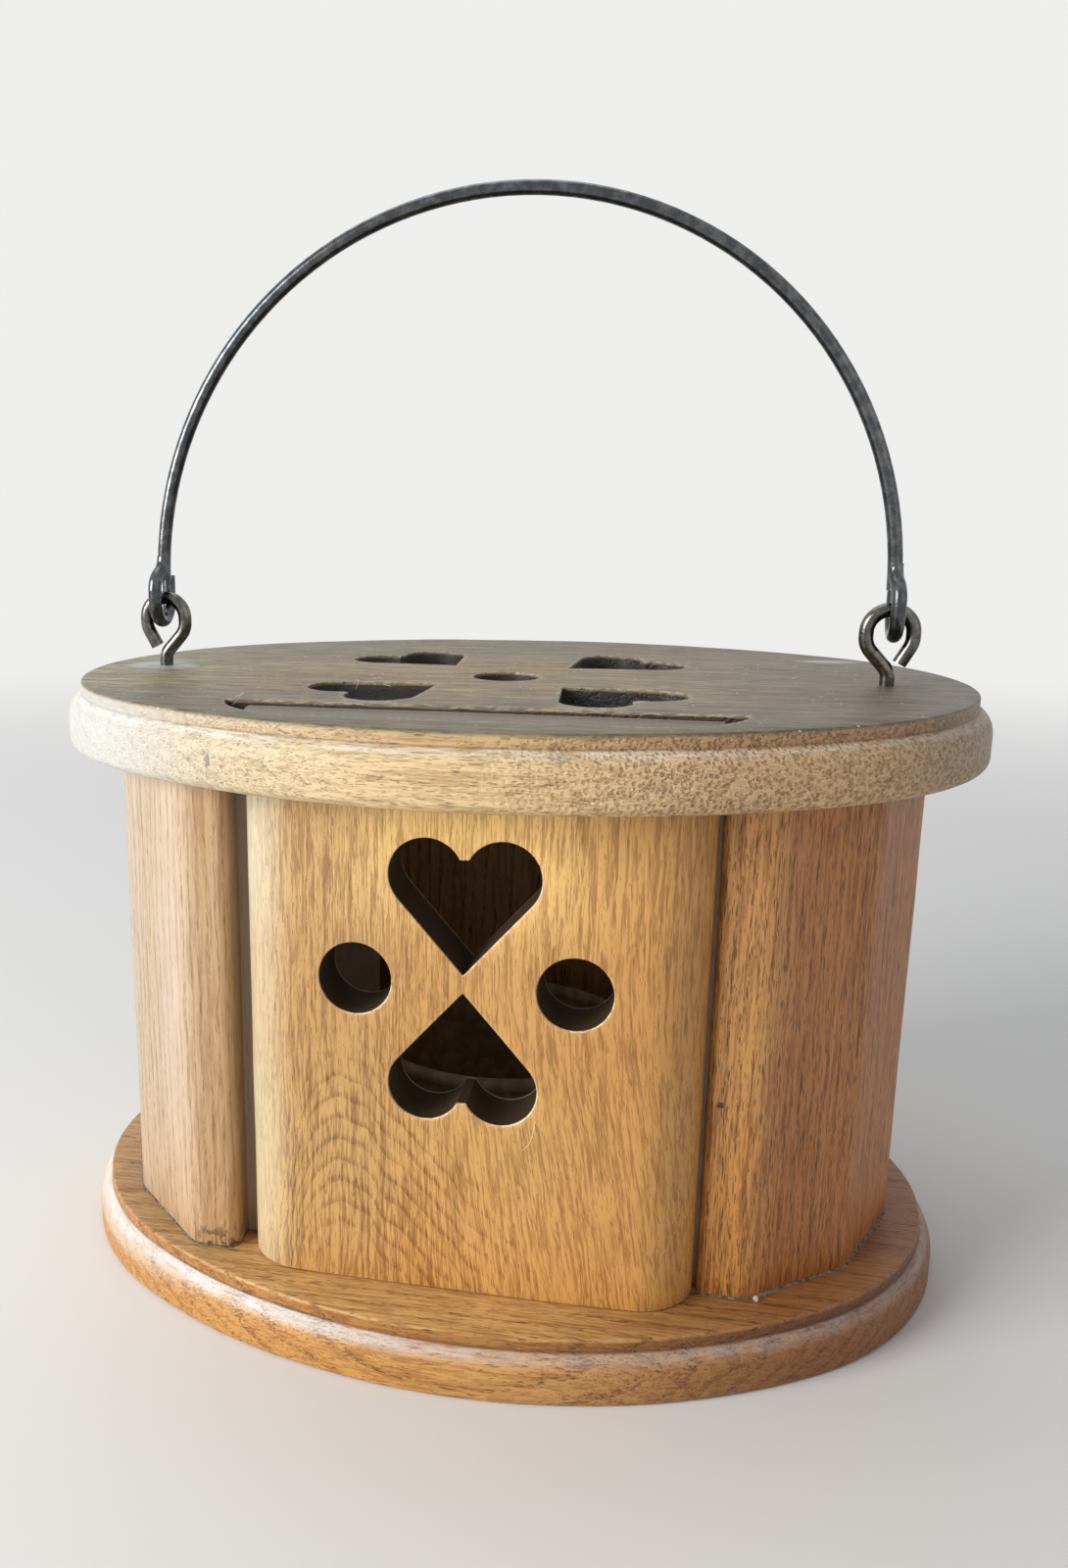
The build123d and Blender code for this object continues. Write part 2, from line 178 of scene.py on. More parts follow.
class Solid:
    """A closed mesh made of rings of points, the walls between them and meshed flat sheets.

    Two point attributes guide the materials: edge is 1 on a worn arris, char 1 on a burnt wall.
    """

    def __init__(self):
        self.points, self.faces = [], []
        self.edge, self.char = [], []

    def ring(self, points, edge=0.0, char=0.0):
        start = len(self.points)
        self.points += [tuple(p) for p in points]
        self.edge += [edge] * len(points)
        self.char += [char] * len(points)
        return list(range(start, len(self.points)))

    def wall(self, lower, upper, skip=()):
        n = len(lower)
        for i in range(n):
            if i not in skip:
                j = (i + 1) % n
                self.faces.append((lower[i], lower[j], upper[j], upper[i]))

    def walls(self, rings):
        for lower, upper in zip(rings, rings[1:]):
            self.wall(lower, upper)

    def sheet(self, rings, flat, place, step):
        """Fills the area inside rings, whose 2D points are in flat, with a mesh of even grain."""
        outline = np.concatenate(flat)
        low, high = outline.min(0), outline.max(0)
        xs = np.arange(low[0] + step / 2, high[0], step)
        ys = np.arange(low[1] + step / 2, high[1], step)
        grid = np.stack(np.meshgrid(xs, ys), -1).reshape(-1, 2)
        grid = grid[inside(grid, flat)]
        near = np.array([np.min(np.sum((outline - g) ** 2, 1)) for g in grid])
        grid = grid[near > (0.5 * step) ** 2]
        edges, base = [], 0
        for ring in rings:
            n = len(ring)
            edges += [(base + i, base + (i + 1) % n) for i in range(n)]
            base += n
        every = np.concatenate((outline, grid))
        found = delaunay_2d_cdt([Vector(p) for p in every], edges, [], 0, 1e-9)
        triangles = np.array([f for f in found[2] if len(f) == 3])
        origin = [o[0] if o else -1 for o in found[3]]
        places = np.array([tuple(v) for v in found[0]])
        keep = inside(places[triangles].mean(1), flat)
        index = sum(rings, []) + self.ring([place(p) for p in grid])
        for a, b, c in triangles[keep]:
            self.faces.append((index[origin[a]], index[origin[b]], index[origin[c]]))

    def cap(self, ring, flat, z, step):
        """A level sheet that closes one ring."""
        self.sheet([ring], [flat], lambda p: (p[0], p[1], z), step)

    def build(self, name, wobble=0.0, seed=0):
        """The object, its surface planed up to wobble deep in slow waves."""
        mesh = bpy.data.meshes.new(name)
        mesh.from_pydata(self.points, [], self.faces)
        for key, values in (("edge", self.edge), ("char", self.char)):
            mesh.attributes.new(key, "FLOAT", "POINT").data.foreach_set("value", values)
        work = bmesh.new()
        work.from_mesh(mesh)
        bmesh.ops.recalc_face_normals(work, faces=work.faces)
        work.normal_update()
        offset = Vector((seed * 3.7, seed * 1.3, seed * 2.1))
        for v in work.verts:
            rough = noise.noise(v.co / WOBBLE_LENGTH + offset)
            rough += 0.4 * noise.noise(v.co * 3 / WOBBLE_LENGTH + offset)
            v.co -= v.normal * wobble * min(1.0, max(0.0, 0.5 + 0.5 * rough))
        work.to_mesh(mesh)
        work.free()
        mesh.shade_smooth()
        mesh.set_sharp_from_angle(angle=SHARP_EDGE)
        return add_object(name, mesh)


# ---- wooden pieces ----
ARRIS = 0.45 * MM
TOP_ARRIS = 0.8 * MM
ARRIS_TURNS = (0, 30, 60, 90)
OUTLINE_STEP = 1.3 * MM
PANEL_OUTLINE_STEP = 2.4 * MM
FACE_INSET = 3.8 * MM
OVOLO = 7.0 * MM
STEP_UP = 3.0 * MM
EYE_BORE_WIDTH = 6 * MM
ROW_STEP = 6 * MM
PANEL_ROW_STEP = 4 * MM
# the window of the front panel that holds its cut-outs
HALF_WINDOW = 42 * MM
CROWN_DEPTH = 9 * MM
ROWS_BELOW_WINDOW, ROWS_ABOVE_WINDOW = 10, 7


def arris(size):
    """(inset, depth) of the rows of a rounded arris, from the face down to the wall."""
    turns = [math.radians(t) for t in ARRIS_TURNS]
    return [(size * (1 - math.sin(t)), size * (1 - math.cos(t))) for t in turns]


def plain_loops(node, axis, level, keep=lambda loop: True, step=OUTLINE_STEP):
    plane = [i for i in range(3) if i != axis]
    loops = [loop[:, plane] for loop in flat_face_loops(node, axis, level)]
    return [resample(loop, step) for loop in loops if keep(loop)]


def oval_board(node, bottom, top, foot, holes=()):
    """Moulded oval board with burnt holes, its foot rounded by the radius foot."""
    solid = Solid()
    widest = inset(plain_loops(node, 2, top)[0], -FACE_INSET)
    profile = board_profile(bottom, top, foot)
    rings = [solid.ring(level_with(inset(widest, inwards), z)) for inwards, z in profile]
    solid.walls(rings)
    top_rings, top_flat = [rings[-1]], [inset(widest, profile[-1][0])]
    low_rings, low_flat = [rings[0]], [inset(widest, profile[0][0])]
    for loop in holes:
        rows = [(inset(loop, i), top - depth, 1.0, 0.0) for i, depth in arris(ARRIS)]
        rows += [(loop, top + share * (bottom - top), 0.0, 1.0) for share in (0.06, 0.3, 0.6, 0.9)]
        rows += [(inset(loop, i), bottom + depth, 0.5, 1.0) for i, depth in reversed(arris(ARRIS))]
        made = [solid.ring(level_with(p, z), edge, char) for p, z, edge, char in rows]
        solid.walls(made)
        top_rings.append(made[0])
        top_flat.append(rows[0][0])
        low_rings.append(made[-1])
        low_flat.append(rows[-1][0])
    solid.sheet(top_rings, top_flat, lambda p: (p[0], p[1], top), 5 * MM)
    solid.sheet(low_rings, low_flat, lambda p: (p[0], p[1], bottom), 7 * MM)
    return solid


def board_profile(bottom, top, foot):
    """Rows (inset from the widest outline, height) of a board's side, upwards.

    They are a rounded foot, the upright, an ovolo, a soft groove and a square step.
    """
    shoulder = top - STEP_UP
    rows = []
    for turn in (90, 70, 50, 30, 15, 0):
        t = math.radians(turn)
        rows.append((foot * (1 - math.cos(t)), bottom + foot * (1 - math.sin(t))))
    rows.append((0, (bottom + foot + shoulder - OVOLO) / 2))
    for turn in (0, 10, 20, 30, 40, 50, 58):
        t = math.radians(turn)
        rows.append((OVOLO * (1 - math.cos(t)), shoulder - OVOLO + OVOLO * math.sin(t)))
    groove = shoulder - OVOLO + OVOLO * math.sin(math.radians(61))
    rows.append((FACE_INSET - 0.35 * MM, groove - 0.1 * MM))
    rows.append((FACE_INSET + 0.05 * MM, groove + 0.35 * MM))
    rows.append((FACE_INSET + 0.02 * MM, groove + 0.9 * MM))
    rows += [(FACE_INSET + i, top - depth) for i, depth in reversed(arris(TOP_ARRIS))]
    return rows


def upright_rows(loop, bottom, top, step, edge):
    """Rows (outline, height, edge) of an upright of one plan with rounded foot and head."""
    n = max(2, round((top - bottom) / step))
    rows = [(inset(loop, i), bottom + depth, edge) for i, depth in arris(ARRIS)]
    rows += [(loop, bottom + (top - bottom) * i / n, 0.0) for i in range(1, n)]
    rows += [(inset(loop, i), top - depth, edge) for i, depth in reversed(arris(ARRIS))]
    return rows


def upright(node, bottom, top):
    """Upright block of one plan, with rounded arrises at its foot and head."""
    solid = Solid()
    rows = upright_rows(plain_loops(node, 2, top)[0], bottom, top, ROW_STEP, 0.6)
    rings = [solid.ring(level_with(p, z), edge) for p, z, edge in rows]
    solid.walls(rings)
    solid.cap(rings[0], rows[0][0], bottom, 8 * MM)
    solid.cap(rings[-1], rows[-1][0], top, 8 * MM)
    return solid


def sliding_panel(node, bottom, top):
    """The front panel: an upright of its plan, its cut-outs in a window of each broad face."""
    solid = Solid()
    loop = plain_loops(node, 2, bottom, step=PANEL_OUTLINE_STEP)[0][::-1]
    back_y = loop[:, 1].max()
    loop = np.roll(loop, -int(np.argmin(loop[:, 0] + loop[:, 1] * 0.1)), 0)
    middle = (loop[:, 0].min() + loop[:, 0].max()) / 2
    window = [i for i, (x, _) in enumerate(loop) if abs(x - middle) < HALF_WINDOW]
    front = [i for i in window if loop[i][1] < back_y - CROWN_DEPTH]
    back = [i for i in window if loop[i][1] > back_y - 1e-5]
    crown = loop[loop[:, 1] < back_y - CROWN_DEPTH]
    crown = crown[np.argsort(crown[:, 0])]

    def crown_y(x):
        return np.interp(x, crown[:, 0], crown[:, 1])

    rows = upright_rows(loop, bottom, top, PANEL_ROW_STEP, 0.7)
    low = len(ARRIS_TURNS) + ROWS_BELOW_WINDOW
    high = len(rows) - len(ARRIS_TURNS) + 1 - ROWS_ABOVE_WINDOW
    rings = [solid.ring(level_with(p, z), edge) for p, z, edge in rows]
    opened = set(front[:-1]) | set(back[:-1])
    for r, (lower, upper) in enumerate(zip(rings, rings[1:])):
        solid.wall(lower, upper, opened if low <= r < high else ())

    def cut_ring(cut, y, edge, char):
        return solid.ring(np.stack((cut[:, 0], y, cut[:, 1]), 1), edge, char)

    holes = []
    for cut in [c[::-1] for c in plain_loops(node, 1, back_y)[1:]]:
        face = crown_y(cut[:, 0])
        made = []
        for inwards, depth in arris(ARRIS):
            p = inset(cut, inwards)
            made.append(cut_ring(p, crown_y(p[:, 0]) + depth, 1.0, 0.0))
        for share in (0.05, 0.3, 0.6, 0.9):
            made.append(cut_ring(cut, face + share * (back_y - face), 0.0, 0.8))
        for inwards, depth in reversed(arris(ARRIS)):
            p = inset(cut, inwards)
            made.append(cut_ring(p, np.full(len(p), back_y - depth), 0.5, 0.8))
        solid.walls(made)
        holes.append((made, inset(cut, ARRIS)))
    for columns, pick, face_y in ((front, 0, crown_y), (back, -1, lambda x: back_y)):
        edge = [rings[low][i] for i in columns]
        edge += [rings[r][columns[-1]] for r in range(low + 1, high)]
        edge += [rings[high][i] for i in reversed(columns)]
        edge += [rings[r][columns[0]] for r in range(high - 1, low, -1)]
        flat = [np.array([(solid.points[i][0], solid.points[i][2]) for i in edge])]
        flat += [outline for _, outline in holes]
        solid.sheet([edge] + [made[pick] for made, _ in holes], flat,
                    lambda p, face_y=face_y: (p[0], face_y(p[0]), p[1]), 4 * MM)
    solid.cap(rings[0], rows[0][0], bottom, 6 * MM)
    solid.cap(rings[-1], rows[-1][0], top, 6 * MM)
    return solid


def put(piece, node, body):
    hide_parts(node)
    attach(piece, body)


def make_wood():
    pieces = {}
    z0, z1 = (c.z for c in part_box("lid_board"))
    holes = plain_loops("lid_board", 2, z1, lambda loop: np.ptp(loop[:, 0]) > EYE_BORE_WIDTH)[1:]
    lid = oval_board("lid_board", z0, z1, 3.0 * MM, holes)
    pieces["lid_board"] = lid.build("oak_lid_board", 0.22 * MM, 1)
    z0, z1 = (c.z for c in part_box("base_board"))
    base = oval_board("base_board", z0, z1, 1.2 * MM)
    pieces["base_board"] = base.build("oak_base_board", 0.22 * MM, 2)
    for i, node in enumerate(("left_side_block", "right_side_block", "back_panel")):
        z0, z1 = (c.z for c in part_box(node))
        pieces[node] = upright(node, z0, z1).build("oak_" + node, 0.3 * MM, 3 + i)
    z0, z1 = (c.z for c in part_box("front_panel"))
    panel = sliding_panel("front_panel", z0, z1)
    pieces["front_panel"] = panel.build("oak_front_panel", 0.25 * MM, 7)
    for node, piece in pieces.items():
        put(piece, node, "sliding_panel" if node == "front_panel" else "body")
    return pieces


# ---- body measures that the finishes follow, in mm ----
BODY_SHIFT = 1.5
RECESS_X = 63.3
CHAMBER_X, CHAMBER_Y = 94.5, 50.5

# ---- small things: lint, hairs, a splinter and a speck of fluff ----
PANEL_HALF = 64.5
WHISKERS = (  # name, points and radius in mm, body, slot
    ("splinter", ((19.3, -78.9, 68.6), (19.1, -79.9, 66.5), (18.6, -80.6, 64.0),
                  (17.6, -80.7, 62.0), (16.1, -80.2, 60.6)), 0.16, "sliding_panel", "oak_front"),
    ("hair_1", ((-65.0, -59.6, 172.1), (-62.6, -60.6, 173.2), (-60.9, -64.0, 174.3),
                (-60.6, -68.0, 173.8), (-61.4, -72.0, 172.0)), 0.08, "body", "oak_lid"),
    ("hair_2", ((-41.8, -21.0, 172.1), (-39.8, -25.0, 172.9), (-38.4, -32.0, 173.1),
                (-37.2, -40.0, 172.1)), 0.07, "body", "oak_lid"),
    ("hair_3", ((-31.9, -28.4, 172.1), (-31.2, -30.2, 172.6), (-29.0, -31.6, 172.1)),
     0.08, "body", "oak_lid"),
)
FLUFF_PLACE, FLUFF_RADIUS = (77.6, -65.8, 17.6), 0.75


def lint(node, name):
    """Dust and lint gathered in the corner between a block and the base."""
    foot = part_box(node)[0].z
    loop = plain_loops(node, 2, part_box(node)[1].z)[0]
    spread, rise = [], []
    for x, y in loop:
        own_x, ay = abs(x + BODY_SHIFT * MM), abs(y)
        in_chamber = own_x < (CHAMBER_X + 0.1) * MM and ay < (CHAMBER_Y + 0.1) * MM
        shut = own_x < PANEL_HALF * MM or in_chamber
        n = 0.5 + 0.5 * noise.noise(Vector((x, y, 0.01)) / 0.004)
        n += 0.35 * noise.noise(Vector((x, y, 0.02)) / 0.0013)
        n = max(0.0, 1.6 * n - 0.35) * (0.6 + noise.noise(Vector((x, y, 0.03)) / 0.014))
        spread.append(0.05 * MM if shut else (0.22 + 1.0 * n) * MM)
        rise.append(0.03 * MM if shut else (0.08 + 0.5 * n) * MM)
    spread, rise = np.array(spread), np.array(rise)
    outward = loop - inset(loop, 1 * MM)
    outward /= np.linalg.norm(outward, axis=1)[:, None]
    under = loop - outward * 0.6 * MM
    sunk = 0 * rise - 0.05 * MM
    rows = ((under, rise + 0.25 * MM), (loop + outward * spread[:, None] * 0.3, rise * 0.6),
            (loop + outward * spread[:, None], sunk), (under, sunk))
    solid = Solid()
    rings = [solid.ring([(x, y, foot + h) for (x, y), h in zip(p, up)]) for p, up in rows]
    solid.walls(rings + rings[:1])
    piece = solid.build(name)
    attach(piece, "body")
    return piece


def whisker(name, points, radius, body):
    """A hair or a splinter: a thin tapered wire of its own."""
    data = bpy.data.curves.new(name, "CURVE")
    data.dimensions = "3D"
    data.bevel_depth = radius
    data.bevel_resolution = 1
    data.use_fill_caps = True
    line = data.splines.new("NURBS")
    line.points.add(len(points) - 1)
    for i, (point, place) in enumerate(zip(line.points, points)):
        point.co = (place[0] * MM, place[1] * MM, place[2] * MM, 1)
        point.radius = 1.0 - 0.6 * i / (len(points) - 1)
    line.order_u = 3
    line.use_endpoint_u = True
    drawn = bpy.data.objects.new(name, data)
    mesh = bpy.data.meshes.new_from_object(drawn)
    bpy.data.objects.remove(drawn)
    mesh.shade_smooth()
    piece = add_object(name, mesh)
    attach(piece, body)
    return piece


def make_fluff():
    work = bmesh.new()
    bmesh.ops.create_icosphere(work, subdivisions=3, radius=FLUFF_RADIUS * MM)
    for v in work.verts:
        v.co *= 1.0 + 0.45 * noise.noise(v.co / 0.0005)
        v.co += Vector(FLUFF_PLACE) * MM
    mesh = bpy.data.meshes.new("fluff")
    work.to_mesh(mesh)
    work.free()
    mesh.shade_smooth()
    fluff = add_object("fluff", mesh)
    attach(fluff, "body")
    return fluff


def make_small():
    pale = fibre("pale_fibre", 0.7, (0.80, 0.70, 0.50), (0.62, 0.50, 0.32), 0.6)
    for name, points, radius, body, slot in WHISKERS:
        whisker(name, points, radius * MM, body).data.materials.append(pale)
    dust = Shader("grey_lint")
    clumps = dust.noise(dust.place, 0.8, 4.0, 0.7)
    dust.color(dust.mix(dust.step(clumps, 0.36, 0.62), (0.05, 0.04, 0.032), (0.25, 0.22, 0.19)))
    dust.roughness(dust.math("MULTIPLY_ADD", clumps, 0.2, 0.8))
    dust.bump(clumps, 0.0003, 1.0)
    for side in ("left", "right"):
        lint(side + "_side_block", "lint_" + side).data.materials.append(dust.material)
    white = fibre("white_fluff", 1.5, (0.60, 0.58, 0.55), (0.36, 0.34, 0.31), 0.9)
    make_fluff().data.materials.append(white)


# ---- material nodes ----
class Shader:
    """Short calls for building a node material. Places are in mm in the object's own space."""

    def __init__(self, name):
        self.material = bpy.data.materials.new(name)
        self.material.use_nodes = True
        self.tree = self.material.node_tree
        self.tree.nodes.clear()
        self.output = self.tree.nodes.new("ShaderNodeOutputMaterial")
        self.bsdf = self.tree.nodes.new("ShaderNodeBsdfPrincipled")
        self.link(self.bsdf.outputs[0], self.output.inputs[0])
        coordinate = self.tree.nodes.new("ShaderNodeTexCoord")
        self.place = self.vector("SCALE", coordinate.outputs["Object"], scale=1000.0)
        self.normal = coordinate.outputs["Normal"]

    def link(self, a, b):
        self.tree.links.new(a, b)

    def feed(self, socket, value):
        if isinstance(value, bpy.types.NodeSocket):
            self.link(value, socket)
        elif value is not None:
            is_color = hasattr(socket.default_value, "__len__") and len(socket.default_value) == 4
            socket.default_value = (*value, 1.0) if is_color and len(value) == 3 else value

    def color(self, value):
        self.feed(self.bsdf.inputs["Base Color"], value)

    def roughness(self, value):
        self.feed(self.bsdf.inputs["Roughness"], value)

    def math(self, operation, a, b=None, c=None, clamp=False):
        node = self.tree.nodes.new("ShaderNodeMath")
        node.operation = operation
        node.use_clamp = clamp
        for socket, value in zip(node.inputs, (a, b, c)):
            self.feed(socket, value)
        return node.outputs[0]

    def vector(self, operation, a, b=None, scale=None):
        node = self.tree.nodes.new("ShaderNodeVectorMath")
        node.operation = operation
        self.feed(node.inputs[0], a)
        self.feed(node.inputs[1], b)
        if scale is not None:
            self.feed(node.inputs["Scale"], scale)
        return node.outputs["Value" if operation in ("LENGTH", "DOT_PRODUCT") else "Vector"]

    def split(self, vector):
        node = self.tree.nodes.new("ShaderNodeSeparateXYZ")
        self.link(vector, node.inputs[0])
        return node.outputs

    def join(self, x, y, z):
        node = self.tree.nodes.new("ShaderNodeCombineXYZ")
        for socket, value in zip(node.inputs, (x, y, z)):
            self.feed(socket, value)
        return node.outputs[0]

    def noise(self, vector, scale=1.0, detail=2.0, rough=0.5, output="Fac"):
        node = self.tree.nodes.new("ShaderNodeTexNoise")
        self.link(vector, node.inputs["Vector"])
        node.inputs["Scale"].default_value = scale
        node.inputs["Detail"].default_value = detail
        node.inputs["Roughness"].default_value = rough
        return node.outputs[output]

    def drawn(self, vector, stretch, detail=2.0, rough=0.5, output="Fac"):
        """Noise drawn out: stretch holds its waves per mm along each axis."""
        return self.noise(self.vector("MULTIPLY", vector, stretch), 1.0, detail, rough, output)

    def cells(self, vector):
        """Distance to the nearest of scattered points, and that point's random colour."""
        node = self.tree.nodes.new("ShaderNodeTexVoronoi")
        self.link(vector, node.inputs["Vector"])
        node.inputs["Scale"].default_value = 1.0
        return node.outputs["Distance"], node.outputs["Color"]

    def step(self, value, low, high, out_low=0.0, out_high=1.0):
        """Smooth step of value from low to high."""
        node = self.tree.nodes.new("ShaderNodeMapRange")
        node.interpolation_type = "SMOOTHSTEP"
        keys = ("Value", "From Min", "From Max", "To Min", "To Max")
        for key, number in zip(keys, (value, low, high, out_low, out_high)):
            self.feed(node.inputs[key], number)
        return node.outputs[0]

    def both(self, *masks):
        """Masks multiplied together."""
        result = masks[0]
        for mask in masks[1:]:
            result = self.math("MULTIPLY", result, mask)
        return result

    def mix(self, share, a, b, kind="MIX"):
        node = self.tree.nodes.new("ShaderNodeMix")
        node.data_type = "RGBA"
        node.blend_type = kind
        self.feed(node.inputs["Factor"], share)
        self.feed(node.inputs[6], a)  # the colour sockets A and B, and the colour result
        self.feed(node.inputs[7], b)
        return node.outputs[2]

    def tint(self, color, *rows):
        """The colour multiplied by each row's factor, as far as the masks before it say."""
        for *masks, factor in rows:
            color = self.mix(self.both(*masks), color, factor, "MULTIPLY")
        return color

    def spot(self, centre, per_mm):
        """Distance from a centre, scaled along each axis."""
        away = self.vector("SUBTRACT", self.place, centre)
        return self.vector("LENGTH", self.vector("MULTIPLY", away, per_mm))

    def blot(self, centre, per_mm, texture, amount, low, high):
        """A spot whose border the texture makes ragged."""
        distance = self.math("MULTIPLY_ADD", texture, amount, self.spot(centre, per_mm))
        return self.step(distance, low, high)

    def attribute(self, name):
        node = self.tree.nodes.new("ShaderNodeAttribute")
        node.attribute_name = name
        return node.outputs["Fac"]

    def bump(self, height, distance, strength=1.0):
        node = self.tree.nodes.new("ShaderNodeBump")
        node.inputs["Strength"].default_value = strength
        node.inputs["Distance"].default_value = distance
        self.link(height, node.inputs["Height"])
        self.link(node.outputs[0], self.bsdf.inputs["Normal"])


def fibre(name, scale, light, dark, roughness):
    """A matt fibre whose colour wanders between two."""
    s = Shader(name)
    s.color(s.mix(s.noise(s.place, scale), light, dark))
    s.roughness(roughness)
    return s.material


PORE_LAYERS = (  # cells per mm across and along, least size, growth where crowded, weight
    (1.9, 0.16, 0.03, 0.25, 1.0),
    (2.9, 0.26, 0.02, 0.28, 0.85),
    (1.15, 0.09, -0.03, 0.26, 0.8),
)


def arched_rings(s, away, g, x, figure):
    """Ring distance of a cut that nears the pith towards its foot, and where the arches show.

    figure holds the height where they start, their slope and how fast the rings fall away to
    the right and to the left of the pith.
    """
    top, slope, right, left = figure
    lift = s.math("MULTIPLY", s.math("SMOOTH_MAX", s.math("SUBTRACT", top, g), 0.0, 14.0), slope)
    du, dv, _ = s.split(away)
    reach = s.math("SUBTRACT", s.math("SQRT", s.math("MULTIPLY_ADD", du, du, 16.0)), 4.0)
    radius = s.both(s.math("POWER", reach, 1.1), s.step(du, -3.0, 3.0, 0.0, right))
    radius = s.math("ADD", radius, s.both(du, du, s.step(du, 3.0, -3.0, 0.0, left)))
    radius = s.math("ADD", s.math("SUBTRACT", radius, lift), s.math("MULTIPLY_ADD", dv, 0.6, 80.0))
    shown = s.both(s.step(x, 26.0, -6.0, 0.12, 1.0), s.step(radius, 52.0, 45.0, 0.22, 1.0),
                   s.step(radius, 22.0, 27.0, 0.15, 1.0))
    return radius, shown


def pore_marks(s, place, crowd, pore_size):
    """Dark spindles along the grain, larger where they crowd."""
    marks = None
    for across, along, least, growth, weight in PORE_LAYERS:
        distance, chance = s.cells(s.vector("MULTIPLY", place, (across, across, along)))
        size = s.math("MULTIPLY_ADD", crowd, growth, least + pore_size)
        size = s.math("MULTIPLY_ADD", s.split(chance)[0], 0.16, s.math("SUBTRACT", size, 0.05))
        mark = s.both(s.step(s.math("SUBTRACT", distance, size), 0.05, -0.05), weight)
        marks = mark if marks is None else s.math("MAXIMUM", marks, mark)
    return marks


def oak(name, axis, light, dark, pore, pith, ring, figure=None, seed=0.0,
        ring_depth=0.35, pore_share=0.85, pore_size=0.0, even=0.0, streaks=1.0, relief=0.22,
        finish=None):
    """Oak in 3D: rings round a pith line, ring-porous pores, fibres and streaks, all in mm."""
    s = Shader(name)
    x, y, z = s.split(s.place)
    u, v, g = (y, z, x) if axis == "X" else (x, y, z)
    q = s.vector("ADD", s.join(u, v, g), (seed * 31.0, seed * 17.0, seed * 53.0))
    half = (0.5, 0.5, 0.5)
    sway = s.vector("SUBTRACT", s.drawn(q, (0.02, 0.02, 0.009), output="Color"), half)
    ripple = s.vector("SUBTRACT", s.drawn(q, (0.2, 0.2, 0.05), output="Color"), half)
    shift = s.vector("ADD", s.vector("MULTIPLY", sway, (7, 7, 0)),
                     s.vector("MULTIPLY", ripple, (1.1, 1.1, 0)))
    away = s.vector("SUBTRACT", s.vector("ADD", s.join(u, v, 0.0), shift), (*pith, 0.0))
    long_q = s.vector("ADD", q, s.vector("MULTIPLY", ripple, (2.0, 2.0, 0.0)))
    shown = 1.0
    if figure:
        radius, shown = arched_rings(s, away, g, x, figure)
        # the fibres lean away from the pith towards the right
        lean = s.both(s.step(x, -30.0, 12.0, 0.0, 0.16), s.math("SMOOTH_MIN", z, 95.0, 30.0))
        long_q = s.vector("ADD", long_q, s.join(lean, 0.0, 0.0))
    else:
        radius = s.vector("LENGTH", away)
    wander = s.noise(s.vector("SCALE", away, scale=0.09), 1.0, 1.0)
    turns = s.math("ADD", s.math("DIVIDE", radius, ring), s.math("MULTIPLY", wander, 1.6))
    in_ring = s.math("FRACT", turns)
    early = s.both(s.step(in_ring, 0.0, 0.08), s.step(in_ring, 0.52, 0.12), shown)
    crowd = s.math("MULTIPLY_ADD", early, 1.0 - even, 0.5 * even)
    pores = pore_marks(s, long_q, crowd, pore_size)
    fibres = s.drawn(long_q, (1.1, 1.1, 0.055), 3.0, 0.8)
    streak = s.drawn(q, (0.42, 0.42, 0.010), 3.0, 0.6)
    blotch = s.drawn(q, (0.025, 0.025, 0.014))
    tone = s.math("MULTIPLY_ADD", early, ring_depth, 0.05)
    tone = s.math("ADD", tone, s.step(streak, 0.36, 0.66, -0.12 * streaks, 0.22 * streaks))
    tone = s.math("ADD", tone, s.step(fibres, 0.39, 0.61, -0.38, 0.54))
    tone = s.math("ADD", tone, s.step(blotch, 0.3, 0.7, 0.0, 0.2), clamp=True)
    color = s.mix(s.both(pores, pore_share), s.mix(tone, light, dark), pore)
    height = s.math("MULTIPLY_ADD", fibres, -0.6, s.math("MULTIPLY", pores, -1.0))
    rough = s.math("MULTIPLY_ADD", fibres, 0.25, 0.4)
    if finish:
        color, height = finish(s, color, height, (x, y, z))
    s.color(color)
    s.roughness(rough)
    s.bsdf.inputs["Coat Weight"].default_value = 0.15
    s.bsdf.inputs["Coat Roughness"].default_value = 0.35
    s.bump(height, relief * MM, 0.8)
    return s.material


# ---- finishes: wear, dirt, painted light and painted shade, in mm from the middle of the underside ----
SOOT = (0.032, 0.021, 0.012)
CHAR = (0.016, 0.017, 0.019)
CHAR_GLINT = (0.14, 0.16, 0.18)
BARE_INSIDE = (0.90, 0.77, 0.62)
RAW_EDGE_AND_HIGHLIGHT = (0.86, 0.68, 0.42)
EYE_STAIN = (-109.5, 1.0, 172.0)
EYE_MARK_AND_SHADOW = (109.0, -1.0, 172.0)
BACK_SCUFF = (92.0, 54.0, 172.0)
RIM_MARK = (-62.4, -88.7, 161.0)
BLOCK_SCAR = (65.2, -66.0, 71.8)
PANEL_CHIP_SHADE = (-55.2, -76.6, 17.4)


